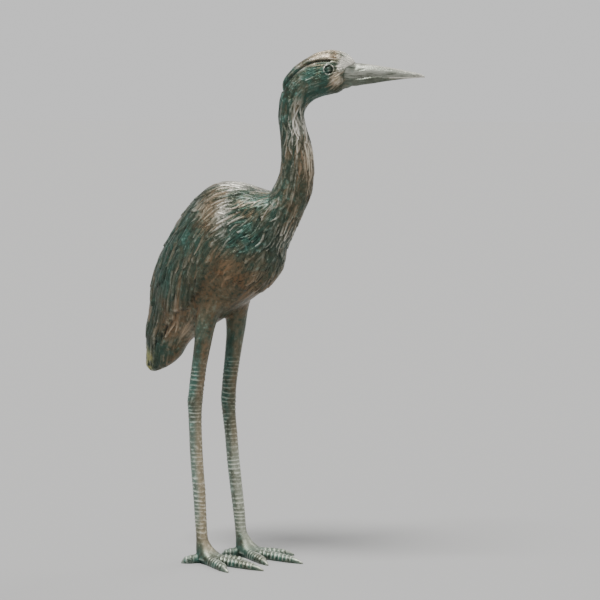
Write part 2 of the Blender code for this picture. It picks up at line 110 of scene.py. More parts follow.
# Edge of the crest plate on the side of the head, from the brow to the nape.
CREST_EDGE = [(57, 773), (37, 772), (20, 766), (3, 753), (-10, 739), (-14, 729)]

# Bill sections: share of its length from the feather edge, top, gape, underside, half width.
FEATHER_EDGE = 96.0
BILL = [
    (-0.22, 760, 744, 735, 9.0), (-0.02, 768, 746, 733, 10.4), (0.10, 768, 747, 735, 9.6),
    (0.22, 766, 748.5, 737, 8.4), (0.40, 763, 749, 740, 7.0), (0.58, 760, 748.5, 742.5, 5.8),
    (0.76, 756, 748, 744.5, 4.8), (0.88, 753.5, 747.5, 745.5, 3.8), (0.96, 751, 747, 746, 2.6),
    (1.0, 748.5, 746.6, 746.4, 1.2),
]
# How much each half narrows away from the gape, and the lower half's width and shortness.
BILL_PINCH = 0.42
LOWER_BILL_WIDTH = 0.94
UNDERBITE = 5.0

# Legs from hip to ankle: ahead, height, radius, share of half the spacing.
RIGHT_LEG = [
    (4, 440, 28, 0.42), (-7, 408, 23, 0.66), (-13.5, 385, 18.0, 0.84), (-17, 362, 15.2, 0.97),
    (-19.8, 340, 13.2, 1.0), (-26.0, 305, 11.8, 1.02), (-31.2, 268, 11.4, 1.04),
    (-33.2, 252, 11.8, 1.05), (-33.2, 236, 10.9, 1.05), (-33.0, 210, 10.1, 1.05),
    (-30.4, 158, 10.0, 1.06), (-26.8, 119, 9.9, 1.07), (-24.8, 93, 9.7, 1.08),
    (-22.8, 64, 9.2, 1.10), (-20.4, 39, 9.2, 1.12), (-18.8, 20, 10.5, 1.13), (-17.0, 4, 11.0, 1.13),
]
LEFT_LEG = [
    (14, 440, 28, 0.42), (7, 408, 23, 0.62), (3, 385, 18.4, 0.80), (0, 362, 15.5, 0.92),
    (-3.2, 338, 13.4, 0.94), (-10.2, 290, 12.0, 0.94), (-13.2, 262, 11.7, 0.92),
    (-13.8, 248, 12.0, 0.91), (-13.2, 230, 10.9, 0.90), (-9.6, 200, 10.2, 0.88),
    (-4.2, 149, 10.1, 0.86), (0.6, 110, 9.9, 0.85), (5.1, 78, 9.5, 0.84), (8.2, 50, 9.1, 0.83),
    (11.0, 29, 9.3, 0.82), (12.4, 17, 10.4, 0.82), (13.8, 4, 11.0, 0.82),
]

# Toes of each foot: direction from straight ahead, length as a share of the middle toe.
RIGHT_TOES = [(-5.0, 1.0), (-33.0, 0.74), (20.0, 0.64), (222.0, 0.32)]
LEFT_TOES = [(-5.0, 1.0), (-33.0, 0.74), (26.0, 0.72), (222.0, 0.32)]
# One toe: share of its length, half width and top as shares of half the toe's width.
TOE_SHAPE = [
    (0.0, 1.10, 1.9), (0.10, 1.08, 1.75), (0.20, 0.98, 1.62), (0.32, 0.98, 1.60), (0.44, 0.90, 1.46),
    (0.56, 0.93, 1.46), (0.68, 0.83, 1.30), (0.78, 0.80, 1.22), (0.85, 0.58, 1.02), (0.93, 0.36, 0.72),
    (1.0, 0.13, 0.30),
]

# Instep, which runs down from the shank's front to the middle toe: height, middle ahead of the
# ankle, reach ahead and half width.
INSTEP = [
    (44, -3.6, 5.6, 5.6), (37, -2.4, 8.0, 8.2), (30, 0.2, 9.6, 9.4), (24, 3.2, 11.4, 10.8),
    (18, 7.4, 14.6, 13.4), (12, 12.0, 20.0, 16.6), (6, 13.5, 23.5, 18.0),
]

# Where each foot stands, with its toes.
HALF_SPACING = LEG_SPACING / UNIT / 2
FEET = [
    ((RIGHT_LEG[-1][0], -HALF_SPACING * RIGHT_LEG[-1][3]), RIGHT_TOES),
    ((LEFT_LEG[-1][0], HALF_SPACING * LEFT_LEG[-1][3]), LEFT_TOES),
]

# Folded wing: its front and lower edge on the flank, from the shoulder to the wing tip.
WING_EDGE = [
    (52, 566), (38, 548), (33, 516), (25, 482), (6, 453), (-16, 426), (-34, 404), (-64, 386),
    (-92, 358), (-112, 338),
]

# Below this line, from the flank to the breast, the belly between the legs is bare.
BELLY_EDGE = [(-40, 474), (-8, 470), (20, 458), (42, 440), (62, 424), (90, 404)]

# How the plumage lies, seen from the side: ahead, height, and the way a feather points.
FLOW = [
    (120, 690, 0.0, -1.0), (124, 640, 0.05, -1.0), (122, 600, -0.15, -1.0), (112, 555, -0.4, -1.0),
    (128, 540, -0.42, -1.0), (96, 480, -0.7, -0.8), (100, 440, -0.6, -0.9), (70, 565, -1.0, -0.35),
    (45, 560, -1.0, -0.25), (40, 520, -0.85, -0.6), (35, 600, -1.0, -0.05), (-5, 590, -0.85, -0.5),
    (-25, 545, -0.5, -0.9), (-40, 490, -0.3, -1.0), (-65, 530, -0.55, -0.85), (-10, 500, -0.15, -1.0),
    (-80, 410, -0.3, -1.0), (-100, 350, -0.25, -1.0), (-115, 320, -0.2, -1.0), (-60, 370, -0.8, -0.5),
    (40, 445, -0.7, -0.55), (-15, 410, -0.1, -1.0), (60, 770, -1.0, 0.1), (20, 750, -0.9, -0.6),
]
# How far one such place reaches on the body and on the head.
FLOW_REACH = 34.0
HEAD_FLOW_REACH = 12.0

# The tail lies behind this place and the legs ahead of it.
TAIL_CLEAR = -60.0

# Feathers of each region: length, width, relief, gap between rows, gap across, waviness.
# Broad locks lie under the fine strands.
LOCKS = {
    "neck": (90, 13.0, 0.50, 0.42, 0.75, 0.20),
    "breast": (76, 18.0, 0.95, 0.42, 0.75, 0.26),
    "hump": (96, 18.0, 1.90, 0.38, 0.80, 0.24),
    "covert": (62, 17.0, 0.85, 0.42, 0.80, 0.10),
    "quill": (120, 15.0, 0.65, 0.42, 0.75, 0.08),
    "tail": (70, 14.0, 0.22, 0.45, 0.75, 0.20),
}
STRANDS = {
    "hair": (26, 3.8, 0.30, 0.42, 0.78, 0.08),
    "neck": (76, 4.4, 0.60, 0.36, 0.76, 0.22),
    "breast": (52, 5.4, 0.80, 0.40, 0.76, 0.28),
    "hump": (70, 5.6, 0.45, 0.36, 0.78, 0.20),
    "covert": (42, 5.2, 0.55, 0.42, 0.80, 0.16),
    "quill": (90, 6.0, 0.70, 0.40, 0.80, 0.08),
    "tail": (60, 4.6, 0.17, 0.42, 0.80, 0.12),
    "down": (20, 5.0, 0.10, 0.55, 0.90, 0.15),
}
# How much a feather's length, width, relief, bend and sway differ from the next one's.
SPREADS = [(0.8, 1.25), (0.85, 1.2), (0.75, 1.25), (-0.75, 0.75), (-0.4, 0.4)]

# How the plumage lies on the head: ahead of the neck's pin, height, and the way a strand points.
HEAD_FLOW = [
    (0, 716, -0.05, -1.0), (-12, 735, -0.4, -0.9), (5, 738, -0.5, -0.85), (20, 728, -0.6, -0.8),
    (24, 748, -0.85, -0.5), (42, 735, -0.95, -0.3), (45, 756, -1.0, -0.15), (72, 742, -0.2, -1.0),
    (56, 738, -0.9, -0.25), (70, 765, -1.0, 0.1), (60, 776, -1.0, 0.0), (35, 776, -1.0, -0.15),
    (14, 768, -0.88, -0.45), (-3, 753, -0.7, -0.7), (92, 735, -1.0, 0.0), (90, 776, -0.9, 0.4),
]
# The head lies above this height; a far step keeps its flow apart from the body's.
HEAD_BOTTOM = 716.0
HEAD_APART = 1000.0

# Lines on the side of the head, as (ahead of the pin, height): the nostril and the edge of the
# cheek's feathers. The bill lies ahead of the first value after them and above the second.
NOSTRIL = [(101, 757.5), (109, 759.0)]
CHEEK_EDGE = [(76, 726), (78.5, 736), (79, 747), (82, 761), (95, 769), (99, 778)]
BILL_BEHIND = 70
BILL_LOWEST = 725

# Relief of the crest plate, its groove, the eye's groove and ring, the nostril and the step
# from the cheek's feathers to the bill.
CREST_PROUD = 1.5
CREST_GROOVE = 2.1
EYE_GROOVE = 1.1
EYE_RING = 1.0
NOSTRIL_DEEP = 0.9
CHEEK_STEP = 0.9

# Middle of the shanks, for their rings: ahead, and aside on the right and left.
SHANK_AHEAD = -20
SHANK_RIGHT = -37.0
SHANK_LEFT = 31.0
# Plates on the toes: pitch, relief and the top of the toes.
SCUTE_PITCH = 7.0
SCUTE_RELIEF = 1.3
TOES_TOP = 22

# Where the plumage is sleek, below the wing and on the flank, in the terms of the next tables.
SLEEK_SPOTS = [(-58, 374, 30, 30, 0.8), (36, 460, 34, 22, 0.85)]

# Where the patina carries painted highlights and pale wear, where it is greenest and where rusty,
# seen from the side: ahead, height, reach ahead, reach up and strength.
HIGHLIGHT_AND_WEAR_SPOTS = [
    (22, 541, 24, 32, 0.92), (-6, 545, 28, 24, 0.75), (30, 512, 9, 26, 0.6), (30, 585, 46, 13, 0.95),
    (66, 578, 20, 8, 0.6), (150, 640, 11, 60, 0.95), (136, 630, 14, 54, 0.45), (135, 674, 15, 34, 0.8),
    (-60, 358, 20, 22, 0.7), (-30, 556, 26, 14, 0.5), (112, 500, 24, 50, 0.4), (-78, 358, 30, 24, 0.38),
]
GREEN_SPOTS = [
    (62, 505, 30, 26, 1.0), (-33, 500, 30, 40, 0.7), (105, 566, 30, 34, 0.6), (112, 700, 16, 34, 0.8),
    (-75, 440, 24, 50, 0.5), (0, 360, 44, 30, 0.6), (-80, 322, 34, 16, 0.8), (75, 470, 24, 20, 0.5),
    (-10, 5, 90, 14, 0.9), (-75, 480, 16, 40, 0.6),
]
RUST_SPOTS = [
    (-78, 358, 26, 20, 0.9), (-46, 388, 22, 18, 0.9), (-62, 362, 20, 24, 0.9), (40, 440, 60, 34, 0.8),
    (36, 456, 40, 26, 1.0), (-84, 395, 14, 26, 0.5), (150, 610, 13, 60, 0.8), (128, 540, 16, 50, 0.5),
    (-4, 540, 20, 30, 0.95),
]
# Painted highlights on the head, in the same terms: on the brow, the cheek, before the eye and on the
# eyeball.
HEAD_HIGHLIGHT_SPOTS = [
    (84, 769, 13, 11, 1.8), (68, 745, 8, 11, 1.5), (73, 761, 6, 9, 1.2), (57, 758, 4, 4, 0.45),
]
# The wing's wrist, where a highlight is painted and its relief is flattened, and the cheek, among those.
WRIST_HIGHLIGHT_SPOTS = HIGHLIGHT_AND_WEAR_SPOTS[:2]
CHEEK_SPOTS = HEAD_HIGHLIGHT_SPOTS[1:2]
# How far wear flattens locks and strands, and the deepest hollow that counts.
LOCK_WEAR = 0.85
STRAND_WEAR = 0.45
DEEPEST = 1.5

# Tones of the patina, among them painted highlights and painted shade.
DARK_BRONZE = (0.022, 0.034, 0.020, 1.0)
OLIVE = (0.085, 0.092, 0.058, 1.0)
RUST = (0.250, 0.122, 0.052, 1.0)
TEAL = (0.020, 0.078, 0.060, 1.0)
PALE_TEAL = (0.150, 0.330, 0.280, 1.0)
# Colours of pale wear and of painted highlights, grey and, on rusty places, tan.
WEAR_AND_HIGHLIGHT_GREY = (0.620, 0.600, 0.530, 1.0)
WEAR_AND_HIGHLIGHT_TAN = (0.500, 0.425, 0.300, 1.0)
# Painted shade, near black, laid in the deepest hollows.
PAINTED_HOLLOW_SHADE = (0.006, 0.012, 0.009, 1.0)
BILL_GREY = (0.350, 0.360, 0.310, 1.0)
LEG_TAUPE = (0.375, 0.310, 0.205, 1.0)
LEG_GREY = (0.360, 0.430, 0.365, 1.0)
# Pale ring ridges of the legs: partly wear, partly painted glints.
RING_WEAR_GLINT_BEIGE = (0.800, 0.750, 0.610, 1.0)
RING_WEAR_GLINT_GREEN = (0.660, 0.740, 0.650, 1.0)
BRASS_GREEN = (0.420, 0.400, 0.150, 1.0)

# Sizes of the patina's clouds, patches, flecks, grain and the bill's streaks, in metres.
CLOUD_SIZE = 0.050
PATCH_SIZE = 0.016
FLECK_SIZE = 0.0055
GRAIN_SIZE = 0.0020
STREAK_SIZE = 0.0040
STREAK_STRETCH = (0.16, 0.16, 1.0)
# Fine lines across a unit of feather, and the finest relief's strength and depth.
BARB_RATE = 2.4
FINE_STRENGTH = 0.7
FINE_DEPTH = 0.0009
# Gloss of clean bronze, and how much dull patina and grain change it.
CLEAN_METAL = 0.80
DULL_METAL = 0.6
CLEAN_ROUGHNESS = 0.30
DULL_ROUGHNESS = 0.22
GRAIN_ROUGHNESS = 0.14
WAX_COAT = 0.3
WAX_ROUGHNESS = 0.28
GLINT = 0.35
# Sockets of the two colours and the result on a mixing node.
FIRST_COLOUR = 6
SECOND_COLOUR = 7
MIXED_COLOUR = 2

# The photograph's camera, in the figure's own layout: metres and degrees.
CAMERA_AWAY = 3.0
CAMERA_HEIGHT = 0.70
CAMERA_HEADING = 28.0
CAMERA_PITCH = 5.6
CAMERA_LENS = 117.0
FRAME_PIXELS = 600.0
GROUND_COLUMN = 225.0
SENSOR_WIDTH = 36.0

# The studio: floor, surround, and for each light where it comes from, how wide it looks in
# degrees, its strength and its colour.
FLOOR_COLOUR = (0.372, 0.372, 0.372, 1.0)
WALL_COLOUR = (0.78, 0.78, 0.78, 1.0)
FLOOR_SIZE = 190.0
LIGHTS = {
    "key": ((-0.35, -0.95, 2.4), 20.0, 4.0, (1.0, 0.99, 0.97)),
    "rim": ((0.6, 1.7, 1.9), 24.0, 0.6, (1.0, 0.98, 0.94)),
}


def smooth_rows(rows, steps):
    """Rows of a table with smooth steps put in between them."""
    rows = np.array(rows, float)
    ends = np.vstack([2 * rows[0] - rows[1], rows, 2 * rows[-1] - rows[-2]])
    result = []
    for index in range(len(rows) - 1):
        before, start, stop, after = ends[index:index + 4]
        for share in np.arange(steps) / steps:
            bend = (2 * before - 5 * start + 4 * stop - after) * share ** 2
            twist = (3 * start - before - 3 * stop + after) * share ** 3
            result.append(start + 0.5 * ((stop - before) * share + bend + twist))
    result.append(rows[-1])
    return np.array(result)


def ring(centre, reach, side, pinch=0.0):
    """An oval section; a positive pinch narrows the end that reach points to."""
    turns = np.arange(RING_SIDES) * (2 * math.pi / RING_SIDES)
    along = np.cos(turns)
    across = np.sin(turns) * (1 - pinch * along)
    return centre + np.outer(along, reach) + np.outer(across, side)


def loft(skin, rings):
    """Join rings of points into a closed mass, added to the skin."""
    loops = []
    for points in rings:
        loops.append([skin.verts.new(point * UNIT) for point in points])
    for lower, upper in zip(loops, loops[1:]):
        for index in range(RING_SIDES):
            following = (index + 1) % RING_SIDES
            skin.faces.new((lower[index], lower[following], upper[following], upper[index]))
    skin.faces.new(list(reversed(loops[0])))
    skin.faces.new(loops[-1])


def headed(angle):
    """Ahead and sideways directions over the ground at an angle in radians."""
    ahead = np.array([math.cos(angle), math.sin(angle), 0.0])
    side = np.array([-math.sin(angle), math.cos(angle), 0.0])
    return ahead, side


def turned(share):
    """Ahead and sideways directions of the head at a share of its turn."""
    return headed(math.radians(HEAD_TURN) * share)


def head_point(ahead_of_pin, height, aside=0.0):
    """A place in the turned head's own plane."""
    ahead, side = turned(1.0)
    return PIN * (1, 1, 0) + ahead * ahead_of_pin + side * aside + np.array([0, 0, height])


def add_trunk(skin):
    half_width = BODY_WIDTH / UNIT / 2
    rings = []
    for place, back, belly, share in smooth_rows(TRUNK, 4):
        middle = TRUNK_START + TRUNK_ALONG * place + TRUNK_UP * (back + belly) / 2
        reach = TRUNK_UP * (back - belly) / 2
        centre = np.array([middle[0], 0.0, middle[1]])
        side = np.array([0.0, half_width * share, 0.0])
        rings.append(ring(centre, np.array([reach[0], 0.0, reach[1]]), side, 0.06))
    loft(skin, rings)


def add_neck_and_head(skin):
    half_width = HEAD_WIDTH / UNIT / 2
    rings = []
    for nape, nape_z, throat, throat_z, wide, turn in smooth_rows(NECK, 4):
        ahead, side = turned(turn)
        centre = PIN * (1, 1, 0) + ahead * (nape + throat) / 2
        centre = centre + np.array([0, 0, (nape_z + throat_z) / 2])
        reach = ahead * (nape - throat) / 2 + np.array([0, 0, (nape_z - throat_z) / 2])
        rings.append(ring(centre, reach, side * half_width * wide, 0.14 * turn))
    loft(skin, rings)


def add_bill(skin):
    length = BILL_LENGTH / UNIT
    side = turned(1.0)[1]
    upper = []
    lower = []
    for share, top, gape, under, wide in smooth_rows(BILL, 4):
        ahead = FEATHER_EDGE + share * length
        spread = side * wide
        tall = np.array([0, 0, (top - gape) / 2 + 0.5])
        deep = np.array([0, 0, (gape - under) / 2 + 0.3])
        upper.append(ring(head_point(ahead, (top + gape) / 2 - 0.3), tall, spread, BILL_PINCH))
        under_place = head_point(ahead - UNDERBITE * share, (gape + under) / 2)
        lower.append(ring(under_place, deep, spread * LOWER_BILL_WIDTH, -BILL_PINCH))
    loft(skin, upper)
    loft(skin, lower)


def add_leg(skin, rows, hand):
    rings = []
    for ahead, height, radius, share in smooth_rows(rows, 4):
        centre = np.array([ahead, hand * HALF_SPACING * share, height])
        rings.append(ring(centre, np.array([radius, 0.0, 0.0]), np.array([0.0, radius, 0.0])))
    loft(skin, rings)
    return rings[-1].mean(axis=0) * (1, 1, 0)


def add_instep(skin, ankle, heading):
    """The slope from the shank down onto the toes."""
    ahead, side = headed(math.radians(heading))
    rings = []
    for height, place, reach, wide in smooth_rows(INSTEP, 3):
        rings.append(ring(ankle + ahead * place + np.array([0, 0, height]), ahead * reach, side * wide))
    loft(skin, rings)


def add_foot(skin, ankle, toes):
    add_instep(skin, ankle, toes[0][0])
    half_width = TOE_WIDTH / UNIT / 2
    for heading, share_of_middle in toes:
        ahead, side = headed(math.radians(heading))
        length = TOE_LENGTH / UNIT * share_of_middle
        rings = []
        for share, wide, tall in smooth_rows(TOE_SHAPE, 3):
            top = tall * half_width
            bottom = -0.35 * half_width
            centre = ankle + ahead * share * length + np.array([0, 0, (top + bottom) / 2])
            reach = np.array([0, 0, (top - bottom) / 2])
            rings.append(ring(centre, reach, side * half_width * wide))
        loft(skin, rings)


def add_eyes(skin):
    radius = EYE_RADIUS / UNIT
    aside = HEAD_WIDTH / UNIT / 2 * EYE_ASIDE
    for hand in (-1, 1):
        centre = head_point(*EYE, hand * aside)
        made = bmesh.ops.create_uvsphere(skin, u_segments=20, v_segments=12, radius=radius * UNIT)
        bmesh.ops.translate(skin, verts=made["verts"], vec=centre * UNIT)


def fused_skin(collection):
    """All masses as one closed skin, as arrays of points and faces."""
    skin = bmesh.new()
    add_trunk(skin)
    add_neck_and_head(skin)
    add_bill(skin)
    add_eyes(skin)
    add_foot(skin, add_leg(skin, RIGHT_LEG, -1), RIGHT_TOES)
    add_foot(skin, add_leg(skin, LEFT_LEG, 1), LEFT_TOES)
    bmesh.ops.recalc_face_normals(skin, faces=skin.faces)
    mesh = bpy.data.meshes.new("masses")
    skin.to_mesh(mesh)
    skin.free()
    masses = bpy.data.objects.new("masses", mesh)
    collection.objects.link(masses)
    remesh = masses.modifiers.new("fuse", "REMESH")
    remesh.mode = "VOXEL"
    remesh.voxel_size = VOXEL
    result = evaluated_mesh(masses)
    bpy.data.objects.remove(masses)
    return result


def evaluated_mesh(thing):
    """A thing's mesh with its modifiers applied, as a new mesh."""
    bpy.context.view_layer.update()
    depsgraph = bpy.context.evaluated_depsgraph_get()
    return bpy.data.meshes.new_from_object(thing.evaluated_get(depsgraph))


def rows_of(items, name):
    """Three numbers of each item of a mesh."""
    flat = np.empty(len(items) * 3)
    items.foreach_get(name, flat)
    return flat.reshape(-1, 3)


def mesh_points(mesh):
    return rows_of(mesh.vertices, "co")


def mesh_normals(mesh):
    return rows_of(mesh.vertex_normals, "vector")


def mesh_net(mesh):
    """The two ends of each edge, and how many edges meet at each point."""
    flat = np.empty(len(mesh.edges) * 2, dtype=np.int64)
    mesh.edges.foreach_get("vertices", flat)
    first, second = flat.reshape(-1, 2).T
    count = len(mesh.vertices)
    links = np.bincount(first, minlength=count) + np.bincount(second, minlength=count)
    return first, second, np.maximum(links, 1)


def neighbour_mean(values, net):
    """The mean of a quantity over the points that each point is joined to."""
    first, second, links = net
    count = len(values)
    total = np.bincount(first, values[second], count) + np.bincount(second, values[first], count)
    return total / links


def neighbour_places(points, net):
    """The mean place of the points that each point is joined to."""
    return np.stack([neighbour_mean(column, net) for column in points.T], axis=1)


def smoothed(values, net, rounds):
    """A quantity of the points, averaged with its neighbours several times."""
    for _ in range(rounds):
        values = 0.5 * values + 0.5 * neighbour_mean(values, net)
    return values


def relaxed(points, net):
    """Points smoothed in and out by turns, which keeps their bulk."""
    for pull in RELAX_PULLS * RELAX_ROUNDS:
        points = points + pull * (neighbour_places(points, net) - points)
    return points


def blended_hips(points, net):
    """The places where the thighs leave the belly, drawn smooth."""
    x, _, z = points.T / UNIT
    hips = ease(345, 385, z) * (1 - ease(425, 460, z)) * ease(-75, -50, x) * (1 - ease(55, 75, x))
    pull = (HIP_PULL * hips)[:, None]
    for _ in range(HIP_ROUNDS):
        points = points + pull * (neighbour_places(points, net) - points)
    return points


def ease(low, high, value):
    share = np.clip((value - low) / (high - low), 0.0, 1.0)
    return share * share * (3 - 2 * share)


def line_offset(x, z, line):
    """Signed distance from a line of points, positive to its right as it runs."""
    best = np.full(len(x), 1e9)
    side = np.zeros(len(x))
    for (x0, z0), (x1, z1) in zip(line, line[1:]):
        run = np.array([x1 - x0, z1 - z0], float)
        length = np.hypot(*run)
        run = run / length
        along = np.clip((x - x0) * run[0] + (z - z0) * run[1], 0, length)
        off_x = x - x0 - along * run[0]
        off_z = z - z0 - along * run[1]
        distance = np.hypot(off_x, off_z)
        closer = distance < best
        best = np.where(closer, distance, best)
        side = np.where(closer, np.sign(off_x * run[1] - off_z * run[0]), side)
    return best * side


def wing_offset(x, z):
    """How far points lie inside the folded wing's edge, seen from the side."""
    return line_offset(x, z, smooth_rows(WING_EDGE, 4))


def belly_offset(x, z):
    """How far points lie below the plumage, on the bare belly."""
    return line_offset(x, z, smooth_rows(BELLY_EDGE, 3))


def bill_offset(ahead, z):
    """How far points lie ahead of the cheek's feathers."""
    return line_offset(ahead, z, smooth_rows(CHEEK_EDGE, 3))


def trunk_place(x, z):
    along = (x - TRUNK_START[0]) * TRUNK_ALONG[0] + (z - TRUNK_START[1]) * TRUNK_ALONG[1]
    up = (x - TRUNK_START[0]) * TRUNK_UP[0] + (z - TRUNK_START[1]) * TRUNK_UP[1]
    return along, up


def head_places(points):
    """How far points lie ahead of the neck's pin and aside, in the turned head's frame."""
    ahead, side = turned(1.0)
    flat = points - PIN * (1, 1, 0)
    return flat @ ahead, flat @ side


def eye_distance(points):
    """Distance from the middle of an eye in the side view; far away below the head."""
    along = head_places(points)[0]
    distance = np.hypot(along - EYE[0], points[:, 2] - EYE[1])
    return np.where(points[:, 2] > PIN[2], distance, EYE[1])


def feather_regions(points):
    """Which kind of feather covers each point of the skin; None where it is bare."""
    x, _, z = points.T
    along, up = trunk_place(x, z)
    inside_wing = wing_offset(x, z) > 1.0
    on_belly = belly_offset(x, z) > 0
    ahead = head_places(points)[0]
    before_bill = bill_offset(ahead, z) < -0.5
    region = np.full(len(points), None, dtype=object)
    region[(z > 335) & (z < 600)] = "down"
    region[(z > 372) & (z < 600) & ~on_belly] = "breast"
    region[(z >= 560) & (z < 716) & (x > 60)] = "neck"
    region[(z >= HEAD_BOTTOM) & (ahead < 100) & before_bill] = "hair"
    on_wing = inside_wing & (z < 610) & (x < 60)
    region[on_wing] = "covert"
    region[on_wing & (along < 190)] = "quill"
    region[(up > 62) & (along > 130) & (x < 78) & (z < 612)] = "hump"
    region[(x < -38) & (z > 340) & (z < 425) & ~inside_wing] = "tail"
    region[(along < 52) & (z > 285) & ~inside_wing] = "tail"
    return region


def feather_ways(points, normals):
    """Unit directions in the skin along which the feathers lie."""
    on_head = points[:, 2] > HEAD_BOTTOM
    anchors = np.array(FLOW + [(HEAD_APART + ahead, *rest) for ahead, *rest in HEAD_FLOW])
    aim = anchors[:, 2:] / np.linalg.norm(anchors[:, 2:], axis=1)[:, None]
    places = np.where(on_head, head_places(points)[0] + HEAD_APART, points[:, 0])
    flat = np.zeros((len(points), 2))
    total = np.zeros(len(points))
    for (ahead, height), way in zip(anchors[:, :2], aim):
        gap = (places - ahead) ** 2 + (points[:, 2] - height) ** 2
        reach = np.where(on_head, HEAD_FLOW_REACH, FLOW_REACH)
        weight = np.exp(-gap / (2 * reach ** 2)) + 1e-9
        flat += weight[:, None] * way
        total += weight
    ahead_way = np.where(on_head[:, None], turned(1.0)[0], np.array([1.0, 0.0, 0.0]))
    ways = flat[:, :1] * ahead_way + flat[:, 1:] * np.array([0.0, 0.0, 1.0])
    ways -= normals * np.sum(ways * normals, axis=1)[:, None]
    return ways / np.maximum(np.linalg.norm(ways, axis=1), 1e-6)[:, None]


def feather_seeds(points, ways, normals, region, kinds, chance):
    """Middles of the feathers, spread so that rows overlap like shingles."""
    seeds = []
    for kind, sizes in kinds.items():
        length, width = sizes[:2]
        row_gap, side_gap = sizes[3:5]
        candidates = np.flatnonzero(region == kind)
        chance.shuffle(candidates)
        candidates = candidates[:TRIES]
        asides = np.cross(normals[candidates], ways[candidates])
        kept = np.empty((len(candidates), 3))
        count = 0
        for index, aside_way in zip(candidates, asides):
            offset = kept[:count] - points[index]
            forward = offset @ ways[index] / (row_gap * length)
            aside = offset @ aside_way / (side_gap * width)
            depth = offset @ normals[index] / (0.8 * width)
            if count and np.min(forward ** 2 + aside ** 2 + depth ** 2) < 1.0:
                continue
            kept[count] = points[index]
            count += 1
            seeds.append((kind, index))
    return seeds


def plumage(points, normals, ways, region, kinds, chance):
    """Height of the feathers over the smooth form, with each point's place in its feather."""
    height = np.zeros(len(points))
    barb = np.zeros(len(points))
    tint = np.full(len(points), 0.5)
    order = np.argsort(points[:, 2])
    levels = points[order, 2]
    for kind, index in feather_seeds(points, ways, normals, region, kinds, chance):
        length, width, relief, _, _, wave = kinds[kind]
        draws = [chance.uniform(*spread) for spread in SPREADS]
        length, width, relief, bend, sway = np.multiply((length, width, relief, wave, wave), draws)
        tone = chance.uniform(0.0, 1.0)
        way = ways[index]
        across = np.cross(normals[index], way)
        root = points[index] - way * length * 0.5
        reach = length * 0.62
        lowest, highest = np.searchsorted(levels, (points[index, 2] - reach, points[index, 2] + reach))
        near = order[lowest:highest]
        for axis in (0, 1):
            near = near[np.abs(points[near, axis] - points[index, axis]) < reach]
        offset = points[near] - root
        run = offset @ way / length
        drift = bend * (run - 0.5) ** 2 + sway * np.sin(2 * math.pi * run)
        aside = offset @ across - drift * length
        deep = np.abs(offset @ normals[index]) < 0.6 * width + 0.2 * length
        span = width / 2 * np.sqrt(np.clip(1 - ((run - 0.3) / 0.71) ** 2, 0.0, 1.0)) + 1e-6
        covered = (run > 0) & (run < 1.0) & (np.abs(aside) < span) & deep
        share = np.clip(aside / span, -1.0, 1.0)
        crown = 1 - 0.25 * share ** 2 - 0.65 * share ** 6
        rise = relief * (0.12 + 0.88 * np.clip(run, 0.0, 1.0) ** 1.2) * crown
        wins = covered & (rise > height[near])
        height[near[wins]] = rise[wins]
        barb[near[wins]] = aside[wins]
        tint[near[wins]] = tone
    return height * FEATHER_RELIEF / UNIT, barb, tint


def carved_wings(points):
    """Height of the folded wings, which stand off the flank along their edge."""
    x, y, z = points.T
    waver = 1.6 * np.sin((x + z) / 9.0) + 1.2 * np.sin((x + z) / 3.7)
    offset = wing_offset(x, z) + waver
    flank = ease(6, 18, np.abs(y)) * (1 - ease(440, 520, z)) * ease(322, 350, z)
    return ease(-3.0, 4.0, offset) * flank * WING_PROUD / UNIT


def on_legs(points):
    x, _, z = points.T
    return ease(30, 46, z) * (1 - ease(290, 330, z)) * (x > TAIL_CLEAR)


def carved_legs(points):
    """Uneven rings of scutes round the shanks, coarser at the knees."""
    x, y, z = points.T
    hand = np.where(y > 0, 1.0, 0.0)
    turn = np.arctan2(y - np.where(y > 0, SHANK_LEFT, SHANK_RIGHT), x - SHANK_AHEAD)
    uneven = 1.6 * np.sin(z / 13.0 + 2 * hand) + 0.9 * np.sin(z / 4.7 + 5 * hand)
    slant = 0.9 * np.sin(turn + z / 40.0) + 0.5 * np.sin(3 * turn + z / 9.0)
    phase = (z + uneven + slant) / (RING_PITCH / UNIT)
    ridge = 1 - np.abs(np.sin(math.pi * phase)) ** 0.8
    broken = 0.70 + 0.30 * np.sin(2.0 * turn + 7 * np.floor(phase + 0.5))
    patchy = 0.85 + 0.25 * np.sin(z / 19.0 + 2 * turn) * np.sin(z / 7.3 - turn)
    patchy = patchy * (1 - 0.5 * np.exp(-((z - 178) / 40.0) ** 2) * (1 - hand))
    return (0.40 - ridge * broken) * -1.35 * patchy * on_legs(points) * RING_RELIEF / UNIT


def carved_toes(points):
    """Plates across the tops of the toes, with grooves between them."""
    x, y, z = points.T
    lift = np.zeros(len(points))
    low = z < TOES_TOP
    for ankle, toes in FEET:
        for heading, share in toes:
            angle = math.radians(heading)
            run = (x - ankle[0]) * math.cos(angle) + (y - ankle[1]) * math.sin(angle)
            aside = (y - ankle[1]) * math.cos(angle) - (x - ankle[0]) * math.sin(angle)
            length = TOE_LENGTH / UNIT * share
            inside = low & (np.abs(aside) < 9) & (run > 18) & (run < 0.84 * length)
            curve = run - 0.03 * aside ** 2
            plate = 1 - np.abs(np.sin(math.pi * curve / SCUTE_PITCH)) ** 0.7
            start = ease(18, 34, run) if abs(heading) < 90 else 1.0
            lift = np.where(inside, (plate - 0.3) * SCUTE_RELIEF * ease(1.5, 5, z) * start, lift)
    return lift


def crest_places(points):
    """How far points lie above the crest plate's edge, and where on the head that counts."""
    along = head_places(points)[0]
    z = points[:, 2]
    covered = (1 - ease(56, 68, along)) * ease(720, 730, z)
    return line_offset(along, z, smooth_rows(CREST_EDGE, 3)), covered


